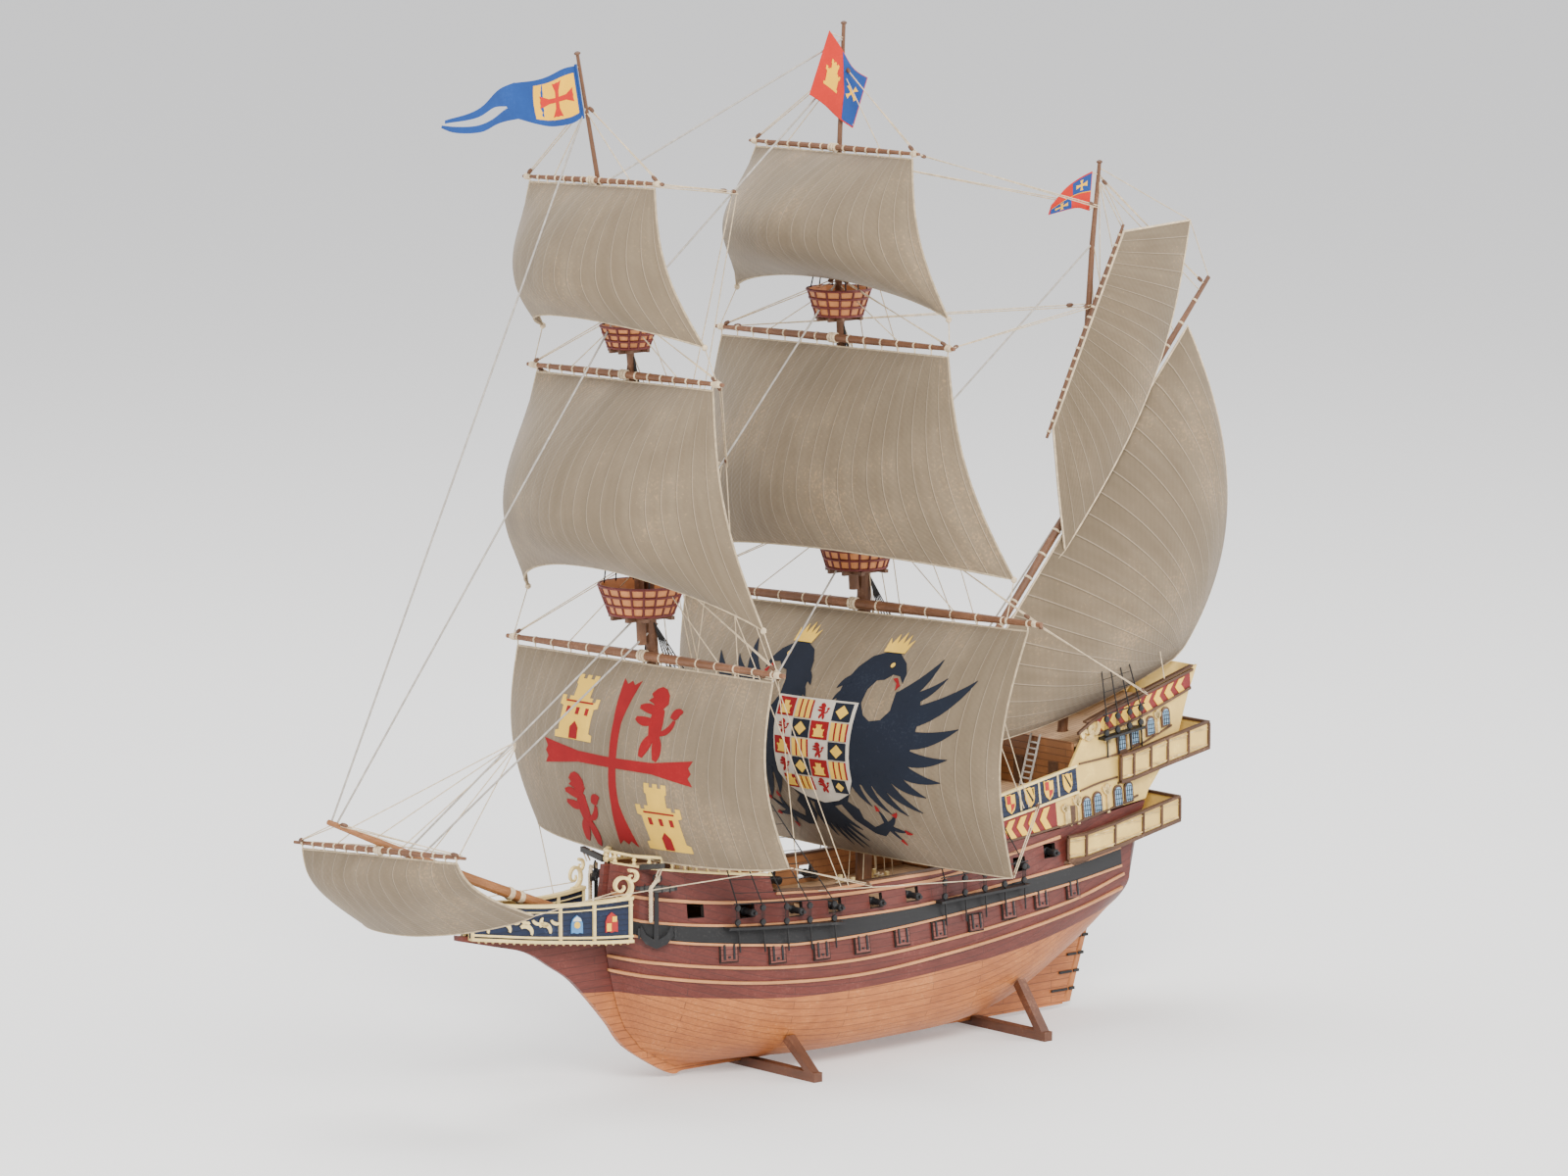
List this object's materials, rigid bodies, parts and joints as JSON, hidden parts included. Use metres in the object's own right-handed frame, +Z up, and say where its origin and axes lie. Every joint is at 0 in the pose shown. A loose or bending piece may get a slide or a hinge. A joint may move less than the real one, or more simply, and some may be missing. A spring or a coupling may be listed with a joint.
{
  "type": "model sailing ship",
  "caption": "Display model of a three-masted galleon under full sail with lateen mizzen, flags, stern galleries and anchors, resting on two slotted wooden cradles.",
  "frame": {"origin": "middle of the overall length and breadth, on the surface the cradles stand on", "axes": "+X aft along the keel, +Y to starboard, +Z up"},
  "size_m": [0.4755, 0.2, 0.4304],
  "materials": {
    "hull_paint": "burgundy paint over tan, satin",
    "keel_paint": "tan bottom paint",
    "deck_wood": "planked deck, wood coloured",
    "blue_paint": "dark blue with cream carving",
    "cream_paint": "cream and ochre paint",
    "black_iron": "black painted fittings",
    "spar_wood": "brown stained spars",
    "top_paint": "orange tan with dark red battens",
    "sailcloth": "weathered grey-beige cloth",
    "flag_cloth": "painted flag cloth",
    "dark_wood": "dark stained wood"
  },
  "bodies": {
    "ship": {"hull_port": "hull_paint", "hull_starboard": "hull_paint", "keel_and_stem": "keel_paint", "beakhead_deck": "deck_wood", "forecastle_deck": "deck_wood", "main_deck": "deck_wood", "quarter_deck": "deck_wood", "poop_deck": "deck_wood", "forecastle_bulkhead": "deck_wood", "quarterdeck_bulkhead": "deck_wood", "poop_bulkhead": "deck_wood", "stern_transom": "deck_wood", "beakhead_rail_port": "blue_paint", "beakhead_rail_starboard": "blue_paint", "sterncastle_side_port": "cream_paint", "sterncastle_side_starboard": "cream_paint", "lower_gallery": "cream_paint", "upper_gallery": "cream_paint", "fore_channel_port": "black_iron", "fore_channel_starboard": "black_iron", "main_channel_port": "black_iron", "main_channel_starboard": "black_iron", "mizzen_channel_port": "black_iron", "mizzen_channel_starboard": "black_iron", "fore_lower_mast": "spar_wood", "fore_topmast": "spar_wood", "main_lower_mast": "spar_wood", "main_topmast": "spar_wood", "mizzen_mast": "spar_wood", "bowsprit": "spar_wood", "spritsail_yard": "spar_wood", "fore_yard": "spar_wood", "fore_topsail_yard": "spar_wood", "fore_topgallant_yard": "spar_wood", "main_yard": "spar_wood", "main_topsail_yard": "spar_wood", "main_topgallant_yard": "spar_wood", "mizzen_yard": "spar_wood", "mizzen_topsail_yard": "spar_wood", "fore_lower_top": "top_paint", "fore_upper_top": "top_paint", "main_lower_top": "top_paint", "main_upper_top": "top_paint", "spritsail": "sailcloth", "fore_course": "sailcloth", "fore_topsail": "sailcloth", "fore_topgallant": "sailcloth", "main_course": "sailcloth", "main_topsail": "sailcloth", "main_topgallant": "sailcloth", "mizzen_course": "sailcloth", "mizzen_topsail": "sailcloth", "fore_pennant": "flag_cloth", "main_banner": "flag_cloth", "mizzen_flag": "flag_cloth"},
    "rudder": {"rudder": "keel_paint"},
    "anchor_port": {"anchor_port": "black_iron"},
    "anchor_starboard": {"anchor_starboard": "black_iron"},
    "fore_cradle": {"fore_cradle": "dark_wood"},
    "aft_cradle": {"aft_cradle": "dark_wood"}
  },
  "joints": [
    {"name": "rudder_swing", "type": "hinge", "parent": "ship", "child": "rudder", "pos_m": [0.16289, 0, 0.016], "axis": [0.3241, 0, 0.946], "range_deg": [-35, 35]},
    {"name": "anchor_port_swing", "type": "hinge", "parent": "ship", "child": "anchor_port", "pos_m": [-0.085, -0.01949, 0.0876], "axis": [-0.7337, 0.6795, 0], "range_deg": [0, 60]},
    {"name": "anchor_starboard_swing", "type": "hinge", "parent": "ship", "child": "anchor_starboard", "pos_m": [-0.085, 0.01949, 0.0876], "axis": [0.7337, 0.6795, 0], "range_deg": [0, 60]},
    {"name": "fore_cradle_slide", "type": "slide", "parent": "ship", "child": "fore_cradle", "axis": [0, 0, -1], "range_m": [0, 0.06]},
    {"name": "aft_cradle_slide", "type": "slide", "parent": "ship", "child": "aft_cradle", "axis": [0, 0, -1], "range_m": [0, 0.06]}
  ]
}
